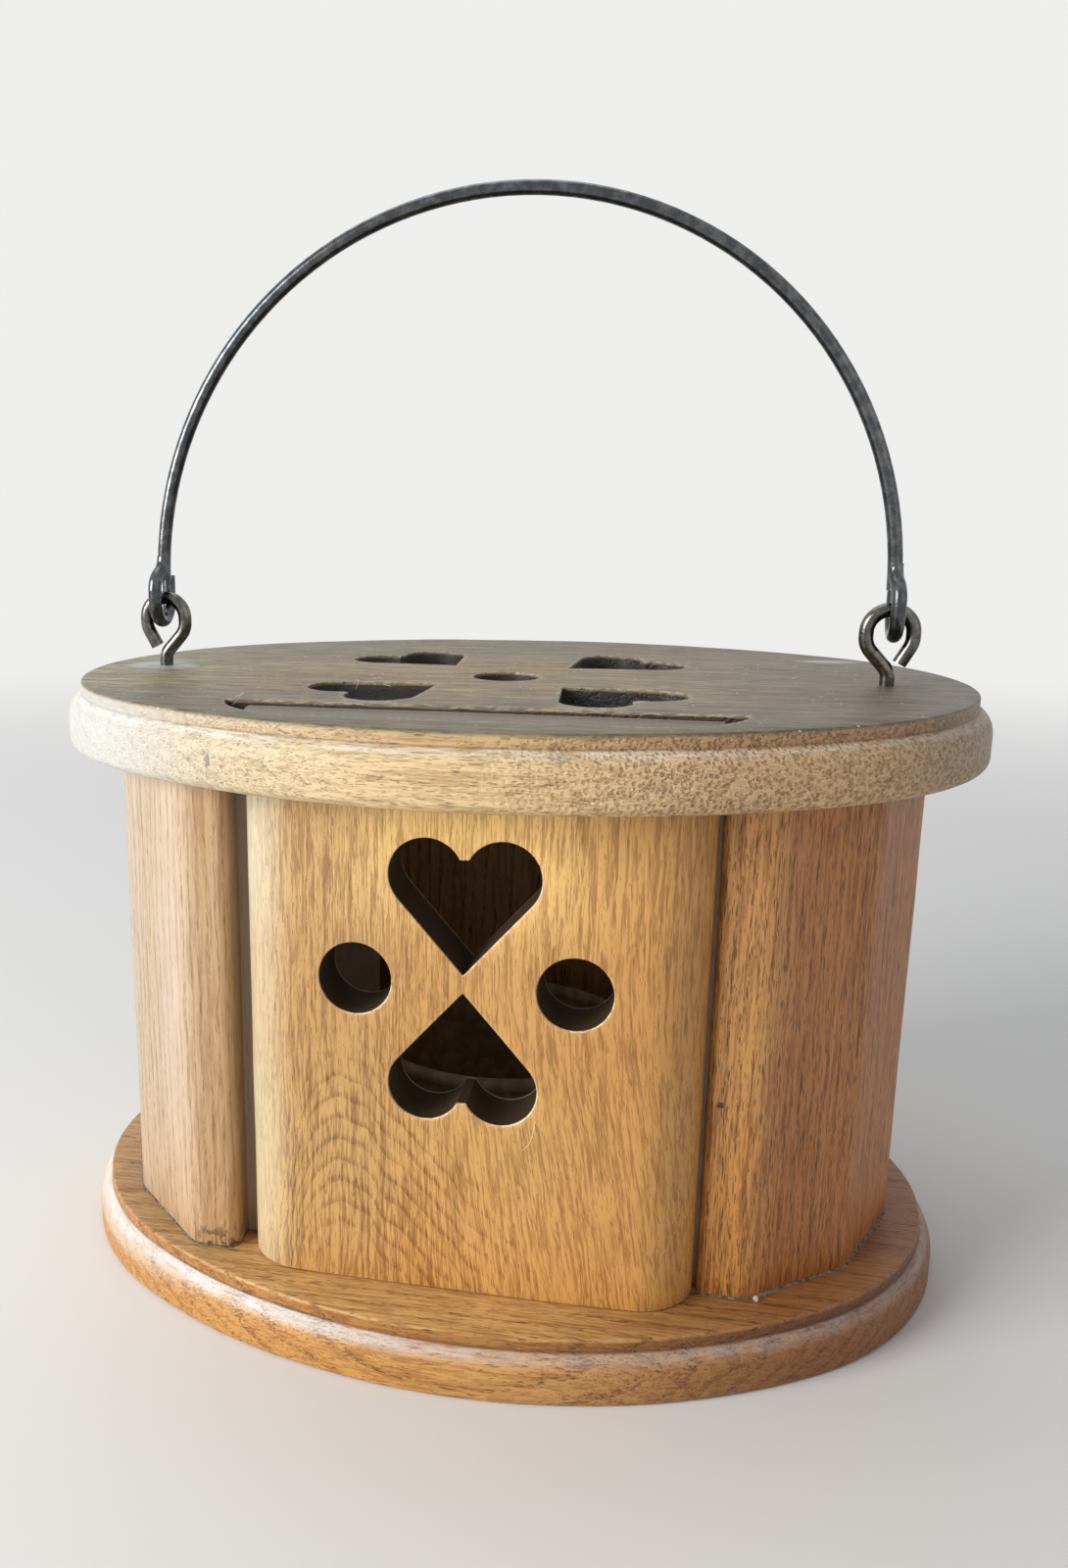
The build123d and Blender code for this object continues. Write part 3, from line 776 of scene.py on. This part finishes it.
def weathered_top(s, color, x, y, grain, lines):
    """The lid's grey-brown upper face, with painted light at its left end and painted shade
    towards the right.
    """
    cloud = s.drawn(s.place, (0.016, 0.045, 0.045), 3.0, 0.6)
    grey = s.mix(s.step(grain, 0.36, 0.64), (0.040, 0.036, 0.026), (0.205, 0.187, 0.145))
    grey = s.tint(grey, (s.step(lines, 0.40, 0.6), (0.72, 0.67, 0.60)))
    grey = s.mix(0.25, grey, color, "OVERLAY")
    grey = s.tint(
        grey,
        (s.step(cloud, 0.38, 0.64, 0.0, 0.9), (1.10, 0.90, 0.62)),
        # painted shade: darker towards the right end
        (s.step(x, 30.0, 118.0), (0.74, 0.80, 0.90)),
        (s.step(x, -75.0, -35.0), s.step(x, 60.0, 20.0), (1.04, 1.05, 0.86)),
        (s.step(y, -52.0, -36.0), s.step(y, 60.0, 20.0), s.step(x, 80.0, 30.0),
         (1.50, 1.38, 1.10)),
        (s.step(y, -60.0, -66.0), (0.80, 0.78, 0.68)),
        # painted light: lighter and cooler at the left end
        (s.step(x, -60.0, -112.0), (1.20, 1.46, 1.66)))
    specks, _ = s.cells(s.vector("SCALE", s.place, scale=0.24))
    specks = s.both(s.step(specks, 0.12, 0.06), s.step(cloud, 0.38, 0.55))
    grey = s.mix(specks, grey, (0.62, 0.60, 0.55))
    stain = s.blot(EYE_STAIN, (0.11, 0.13, 0.0), grain, -0.6, 1.2, 0.5)
    grey = s.mix(s.both(stain, 0.8), grey, (0.50, 0.52, 0.52))
    scuffed = s.blot(BACK_SCUFF, (0.07, 0.16, 0.0), lines, -1.6, 0.1, -0.5)
    grey = s.mix(s.both(scuffed, 0.7), grey, (0.50, 0.51, 0.50))
    # a dark mark round the right eye's foot, spreading to its right as the eye's painted shadow
    mark_and_shadow = s.spot(EYE_MARK_AND_SHADOW, (0.13, 0.26, 0.0))
    return s.tint(grey, (s.step(mark_and_shadow, 1.2, 0.5, 0.0, 0.9), (0.32, 0.36, 0.40)))


def lid_finish(s, color, height, place):
    x, y, z = place
    grain = s.drawn(s.place, (0.06, 0.5, 0.5), 5.0, 0.75)
    lines = s.drawn(s.place, (0.016, 0.16, 0.16), 4.0, 0.65)
    upper = s.step(z, 170.4, 171.7)
    color = s.mix(s.both(upper, 0.96), color, weathered_top(s, color, x, y, grain, lines))
    # the rim: whiter and cooler at the left as a painted sheen of the light, browner and darker
    # towards the right end as painted shade, and pitted there
    side = s.math("SUBTRACT", 1.0, upper)
    color = s.tint(color, (side, s.step(x, -5.0, -60.0), (0.84, 0.93, 1.10)),
                   (side, (0.94, 0.92, 0.88)))
    color = s.mix(s.both(side, s.step(x, -50.0, -104.0, 0.0, 0.78)), color, (0.585, 0.61, 0.62))
    color = s.tint(color, (side, s.step(x, 15.0, 75.0), (0.86, 0.77, 0.79)),
                   (side, s.step(x, 92.0, 128.0), (0.62, 0.67, 0.78)))
    pits, _ = s.cells(s.vector("MULTIPLY", s.place, (0.75, 0.85, 0.85)))
    pits = s.both(s.step(pits, 0.50, 0.26), side, s.step(x, -15.0, 65.0))
    color = s.tint(color, (pits, s.step(grain, 0.34, 0.52, 0.25, 0.9), (0.60, 0.53, 0.46)))
    height = s.math("MULTIPLY_ADD", pits, -1.3, height)
    mark = s.blot(RIM_MARK, (0.9, 0.5, 0.42), s.noise(s.place, 1.3, 3.0), 1.5, 1.65, 1.35)
    color = s.mix(s.both(mark, 0.75), color, (0.13, 0.14, 0.16))
    # the step: darker on its face as painted shade, with a painted dark line of shade in the
    # groove at its foot; the ovolo top below it lighter with wax, dust and a painted sheen
    color = s.tint(
        color,
        (s.step(z, 168.3, 168.9), side, s.step(x, -100.0, 60.0, 0.3, 0.9), (0.70, 0.62, 0.55)),
        (s.step(z, 167.7, 168.1), s.step(z, 168.8, 168.4), s.step(x, -90.0, 0.0, 0.3, 0.9),
         (0.50, 0.42, 0.36)))
    scuff = s.drawn(s.place, (0.12, 0.12, 1.6), 4.0, 0.65)
    ledge_dust_and_sheen = s.both(s.step(z, 165.6, 167.2), s.step(z, 168.3, 167.9),
                   s.step(x, 110.0, -70.0, 0.35, 0.85))
    color = s.mix(s.both(ledge_dust_and_sheen, s.step(scuff, 0.36, 0.62)), color, (0.80, 0.76, 0.69))
    # cut rims of the holes, raw wood here and there, and their burnt walls with painted glints,
    # more of them to the right
    chips = s.noise(s.vector("SCALE", s.place, scale=0.5), 1.0, 3.0, 0.6)
    rims = s.both(s.step(s.attribute("edge"), 0.75, 0.95), s.step(chips, 0.44, 0.60), 0.7)
    color = s.mix(rims, color, (0.40, 0.35, 0.27))
    glint, _ = s.cells(s.vector("SCALE", s.place, scale=0.9))
    glint = s.both(s.step(glint, 0.22, 0.12), s.step(x, 0.0, 60.0, 0.35, 1.0))
    color = s.mix(s.both(s.attribute("char"), 0.97), color, s.mix(glint, CHAR, CHAR_GLINT))
    # the torn back edge of the slot, with a painted line of shadow under its torn fibres
    torn = s.both(s.step(s.math("ABSOLUTE", x), 67.6, 66.8), s.step(y, -61.75, -61.35),
                  s.step(y, -60.0, -60.6), s.step(z, 171.95, 171.6))
    ragged = s.drawn(s.place, (0.16, 1.0, 0.5), 4.0, 0.65)
    split = s.step(s.math("MULTIPLY_ADD", ragged, 2.6, z), 172.55, 172.35)
    raw = s.mix(s.step(ragged, 0.42, 0.56), (0.46, 0.35, 0.22), (0.17, 0.13, 0.09))
    raw = s.mix(split, raw, (0.035, 0.026, 0.018))
    return s.mix(torn, color, raw), height


def from_body_middle(s, x):
    return s.math("ABSOLUTE", s.math("ADD", x, BODY_SHIFT))


def in_chamber(s, own_x, y):
    """1 within the plan of the chamber inside the body."""
    return s.both(s.step(own_x, CHAMBER_X + 0.3, CHAMBER_X - 0.3),
                  s.step(s.math("ABSOLUTE", y), CHAMBER_Y + 0.3, CHAMBER_Y - 0.3))


def block_finish(s, color, height, place):
    x, y, _ = place
    own_x = from_body_middle(s, x)
    # the unpolished, dirty wood beside and behind the panels, darkened further with painted shade
    recess_dirt_and_shade = s.both(s.step(own_x, RECESS_X + 0.3, RECESS_X - 0.3), s.step(y, -30.0, -40.0))
    color = s.mix(s.both(recess_dirt_and_shade, 0.9), color, (0.40, 0.30, 0.215))
    return s.mix(s.both(in_chamber(s, own_x, y), 0.95), color, BARE_INSIDE), height


def right_block_finish(s, color, height, place):
    x, _, z = place
    color = s.tint(
        color,
        (s.step(x, 79.0, 74.0), s.step(z, 150.0, 60.0, 0.5, 1.0), (1.05, 1.10, 0.98)),
        (s.step(x, 76.0, 84.0), (0.84, 0.72, 0.62)),
        (s.step(z, 90.0, 30.0, 0.0, 0.9), (1.02, 0.90, 0.66)))
    scar = s.blot(BLOCK_SCAR, (0.7, 0.2, 0.9), s.noise(s.place, 1.1, 3.0), 1.6, 1.75, 1.35)
    color = s.mix(s.both(scar, 0.95), color, (0.035, 0.02, 0.01))
    return block_finish(s, color, height, place)


def left_block_finish(s, color, height, place):
    x, _, z = place
    color = s.mix(s.step(x, -92.0, -110.0, 0.0, 0.5), color, (0.53, 0.47, 0.40))
    color = s.tint(color, (s.step(x, -82.0, -88.0), (0.93, 0.95, 0.98)))
    sheen = s.both(s.step(x, -94.0, -86.0), s.step(x, -76.0, -84.0), s.step(z, 25.0, 55.0),
                   s.step(z, 165.0, 90.0, 0.35, 1.0))
    color = s.mix(s.both(sheen, 0.26), color, (0.68, 0.60, 0.56))
    color = s.tint(
        color,
        (s.step(x, -79.0, -71.0), (0.93, 0.80, 0.62)),
        (s.step(z, 120.0, 40.0), (0.96, 0.92, 0.86)),
        (s.step(z, 60.0, 25.0, 0.0, 0.6), (1.08, 0.98, 0.85)))
    clouds = s.noise(s.place, 0.35, 4.0, 0.65)
    stain = s.both(s.step(z, 28.0, 17.0), s.step(x, -82.0, -72.0), s.step(clouds, 0.48, 0.58), 0.9)
    color = s.mix(stain, color, (0.05, 0.032, 0.02))
    return block_finish(s, color, height, place)


def base_finish(s, color, height, place):
    x, y, z = place
    color = s.tint(
        color,
        # painted shade: the right half darker
        (s.step(x, 0.0, 100.0), (0.46, 0.32, 0.20)),
        (s.step(z, 16.8, 16.2), s.step(x, 60.0, -20.0, 0.5, 1.0), (0.86, 0.72, 0.50)),
        (s.step(z, 16.2, 16.8), s.step(x, -50.0, -95.0), (0.68, 0.67, 0.74)),
        # painted shade: the step face darker, and a dark line in the groove at its foot
        (s.step(z, 16.2, 15.8), s.step(z, 13.4, 13.9), s.step(x, -80.0, 40.0, 0.45, 0.95),
         (0.62, 0.52, 0.42)),
        (s.step(z, 13.9, 13.5), s.step(z, 12.7, 13.1), (0.45, 0.36, 0.28)))
    # wax and dust worked along the ovolo below the step, with a painted sheen that is strongest at
    # the left
    scuff = s.drawn(s.place, (0.10, 0.10, 1.3), 4.0, 0.65)
    fine = s.noise(s.place, 0.9, 3.0, 0.7)
    dust_and_sheen_band = s.both(s.step(z, 9.4, 12.2), s.step(z, 13.3, 12.9), s.step(x, 45.0, -70.0, 0.26, 1.0),
                  s.step(scuff, 0.34, 0.52, 0.3, 1.0), s.step(fine, 0.3, 0.5, 0.6, 1.0))
    color = s.mix(dust_and_sheen_band, color, (0.74, 0.72, 0.70))
    shine = s.both(s.step(x, -60.0, -112.0), s.step(z, 5.0, 9.5, 0.0, 0.55),
                   s.step(z, 13.6, 13.2))
    color = s.mix(shine, color, (0.72, 0.67, 0.60))
    inner = s.both(in_chamber(s, from_body_middle(s, x), y), s.step(z, 16.5, 16.9), 0.95)
    return s.mix(inner, color, BARE_INSIDE), height


def front_finish(s, color, height, place):
    x, y, z = place
    # painted light from the left: the left part cooler and a cream sheen painted on its left edge
    left_edge_sheen = s.step(x, -42.0, -60.0)
    color = s.tint(color, (s.step(x, -8.0, -30.0), (0.93, 0.98, 1.14)),
                   (left_edge_sheen, (1.04, 1.24, 1.48)))
    color = s.mix(s.both(left_edge_sheen, 0.6), color, (0.66, 0.64, 0.52))
    color = s.tint(
        color,
        (s.step(x, 14.0, 50.0), 0.85, (0.90, 0.80, 0.66)),
        (s.step(x, -40.0, -10.0), s.step(x, 45.0, 15.0), s.step(z, 104.0, 146.0),
         (1.42, 1.58, 1.62)),
        (s.step(z, 130.0, 108.0), s.step(z, 60.0, 90.0, 0.3, 1.0), (0.93, 0.88, 0.82)),
        (s.step(z, 125.0, 70.0), s.step(x, 60.0, 20.0, 0.4, 1.0), (0.98, 0.95, 0.86)),
        (s.step(z, 60.0, 25.0), (1.06, 1.02, 0.95)))
    # raw wood and a painted highlight on the cut rims that face up and left, towards the light
    chips = s.noise(s.place, 0.6, 3.0, 0.65)
    faces_light = s.vector("DOT_PRODUCT", s.normal, (-0.66, 0.0, 0.75))
    rims = s.both(s.step(s.attribute("edge"), 0.80, 0.94), s.step(chips, 0.40, 0.54, 0.2, 1.0),
                  s.step(faces_light, 0.05, 0.5, 0.12, 1.0))
    color = s.mix(rims, color, RAW_EDGE_AND_HIGHLIGHT)
    # a chip at the panel's foot, not modelled, painted as a dark spot of shade
    chip_shade = s.blot(PANEL_CHIP_SHADE, (1.0, 1.0, 1.0), s.noise(s.place, 1.2, 3.0), 1.6, 2.2, 1.8)
    color = s.mix(chip_shade, color, (0.05, 0.028, 0.014))
    color = s.mix(s.both(s.step(s.attribute("char"), 0.05, 0.5), 0.97), color, SOOT)
    # the head that shows in the slot, darker at its right end
    head = s.step(z, 169.9, 170.5)
    color = s.mix(s.both(head, 0.92), color, (0.115, 0.105, 0.09))
    dark = s.both(head, s.step(x, 34.0, 44.0), s.step(y, -75.0, -76.5), 0.8)
    color = s.mix(dark, color, (0.03, 0.028, 0.026))
    return s.mix(s.both(s.step(y, -63.2, -62.4), 0.95), color, BARE_INSIDE), height


def iron(name, base, spot, metallic, roughness, scale=0.8, spread=0.35, relief=0.4):
    s = Shader(name)
    worn = s.noise(s.place, scale, 4.0, 0.6)
    mottled = s.noise(s.place, scale * 3.1, 3.0, 0.6)
    s.color(s.mix(s.step(worn, 0.4, 0.65), base, spot))
    s.roughness(s.math("MULTIPLY_ADD", mottled, spread, roughness))
    s.bsdf.inputs["Metallic"].default_value = metallic
    s.bump(mottled, 0.0002, relief)
    return s.material


def make_materials(wood):
    oaks = {
        "lid_board": oak(
            "oak_lid", "X", (0.80, 0.60, 0.33), (0.50, 0.33, 0.155), (0.15, 0.085, 0.04),
            (12, 60), 3.4, seed=1.0, ring_depth=0.12, even=0.75, pore_share=0.5, relief=0.32,
            finish=lid_finish),
        "base_board": oak(
            "oak_base", "X", (0.70, 0.42, 0.16), (0.40, 0.19, 0.06), (0.12, 0.05, 0.018),
            (-20, -45), 3.6, seed=2.0, ring_depth=0.26, even=0.5, relief=0.28,
            finish=base_finish),
        "left_side_block": oak(
            "oak_left_block", "Z", (0.575, 0.435, 0.295), (0.41, 0.27, 0.155),
            (0.20, 0.10, 0.045), (20, -50), 2.3, seed=3.0, ring_depth=0.3, pore_share=0.55,
            pore_size=-0.05, finish=left_block_finish),
        "right_side_block": oak(
            "oak_right_block", "Z", (0.57, 0.265, 0.083), (0.24, 0.09, 0.024),
            (0.08, 0.03, 0.01), (-40, -75), 3.4, seed=4.0, ring_depth=0.16, pore_size=0.02,
            even=0.6, streaks=0.5, relief=0.36, finish=right_block_finish),
        "back_panel": oak(
            "oak_back", "Z", (0.60, 0.34, 0.13), (0.39, 0.19, 0.06), (0.11, 0.05, 0.02),
            (20, 20), 3.0, seed=5.0, finish=block_finish),
        "front_panel": oak(
            "oak_front", "Z", (0.68, 0.39, 0.13), (0.30, 0.13, 0.032), (0.17, 0.07, 0.02),
            (-33, -46.3), 3.0, figure=(105.0, 0.5, 0.34, 0.072), seed=6.0, ring_depth=0.31,
            pore_share=0.5, even=0.5, streaks=0.5, relief=0.3, finish=front_finish),
    }
    for node, material in oaks.items():
        wood[node].data.materials.append(material)
    wire = iron("bail_wire", (0.065, 0.073, 0.08), (0.13, 0.135, 0.14), 1.0, 0.14, 0.3,
                spread=0.16, relief=0.15)
    eye = iron("eye_wire", (0.095, 0.097, 0.092), (0.18, 0.165, 0.135), 1.0, 0.12, 0.5,
               spread=0.16, relief=0.2)
    pan = iron("pan_iron", (0.36, 0.26, 0.17), (0.50, 0.37, 0.25), 0.0, 0.7, 0.2)
    screw = iron("screw_iron", (0.12, 0.09, 0.07), (0.2, 0.13, 0.08), 0.7, 0.4)
    dowel = oak("dowel_wood", "Z", (0.6, 0.42, 0.22), (0.45, 0.3, 0.15), (0.16, 0.09, 0.04),
                (0, 0), 3.0, seed=8.0)
    for node, material in (
        ("bail_handle", wire), ("left_eye_screw", eye), ("right_eye_screw", eye),
        ("ember_pan", pan), ("ember_pan_handle", pan), ("ember_pan_rivets", pan),
        ("base_screws", screw), ("lid_dowels", dowel),
    ):
        for slot in NODES[node].material_slots:
            slot.material = material


# ---- stage and light ----
PALE = (0.86, 0.86, 0.85, 1)
FLOOR_COLOR = (0.8, 0.8, 0.79, 1)
FLOOR_REACH = 30.0
FADE_FROM, FADE_TO = 350.0, 1500.0  # mm from the object, where the floor turns to plain pale
SKY_COLOR, SKY_STRENGTH = (0.95, 0.97, 1.0, 1), 0.34
AIM = (0, 0, 0.1)


def lamp(name, place, size, power, color):
    data = bpy.data.lights.new(name, "AREA")
    data.shape = "SQUARE"
    data.size = size
    data.energy = power
    data.color = color
    made = add_object(name, data)
    made.location = place
    made.rotation_euler = (Vector(AIM) - Vector(place)).to_track_quat("-Z", "Y").to_euler()


def seen_directly(tree):
    """1 for camera, glossy and transmission rays, so that metal shows the background too."""
    rays = tree.nodes.new("ShaderNodeLightPath")
    total = rays.outputs["Is Camera Ray"]
    for key in ("Is Glossy Ray", "Is Transmission Ray"):
        node = tree.nodes.new("ShaderNodeMath")
        node.operation = "ADD"
        node.use_clamp = True
        tree.links.new(total, node.inputs[0])
        tree.links.new(rays.outputs[key], node.inputs[1])
        total = node.outputs[0]
    return total


def make_floor():
    mesh = bpy.data.meshes.new("floor")
    around = [math.radians(a) for a in range(0, 360, 5)]
    corners = [(FLOOR_REACH * math.cos(a), FLOOR_REACH * math.sin(a), 0) for a in around]
    mesh.from_pydata(corners, [], [tuple(range(len(around)))])
    floor = add_object("floor", mesh)
    s = Shader("floor")
    s.color(FLOOR_COLOR)
    s.roughness(0.9)
    glow = s.tree.nodes.new("ShaderNodeEmission")
    glow.inputs["Color"].default_value = PALE
    blend = s.tree.nodes.new("ShaderNodeMixShader")
    far = s.step(s.vector("LENGTH", s.place), FADE_FROM, FADE_TO)
    s.link(s.math("MULTIPLY", far, seen_directly(s.tree)), blend.inputs[0])
    s.link(s.bsdf.outputs[0], blend.inputs[1])
    s.link(glow.outputs[0], blend.inputs[2])
    s.link(blend.outputs[0], s.output.inputs[0])
    mesh.materials.append(s.material)


def make_world():
    world = bpy.data.worlds.new("world")
    bpy.context.scene.world = world
    world.use_nodes = True
    tree = world.node_tree
    tree.nodes.clear()
    out = tree.nodes.new("ShaderNodeOutputWorld")
    soft = tree.nodes.new("ShaderNodeBackground")
    soft.inputs["Color"].default_value = SKY_COLOR
    soft.inputs["Strength"].default_value = SKY_STRENGTH
    shown = tree.nodes.new("ShaderNodeBackground")
    shown.inputs["Color"].default_value = PALE
    blend = tree.nodes.new("ShaderNodeMixShader")
    tree.links.new(seen_directly(tree), blend.inputs[0])
    tree.links.new(soft.outputs[0], blend.inputs[1])
    tree.links.new(shown.outputs[0], blend.inputs[2])
    tree.links.new(blend.outputs[0], out.inputs[0])


def make_stage():
    make_floor()
    make_world()
    lamp("key", (-1.24, -1.0, 0.66), 0.9, 30.0, (1.0, 0.985, 0.96))
    lamp("top", (-0.3, 0.4, 1.4), 1.0, 5.0, (0.96, 0.98, 1.0))
    lamp("fill", (1.3, -0.9, 0.7), 1.2, 2.0, (1.0, 0.94, 0.86))
    bpy.context.scene.view_settings.view_transform = "Standard"


make_camera()
make_materials(make_wood())
make_small()
make_stage()

bpy.context.view_layer.update()
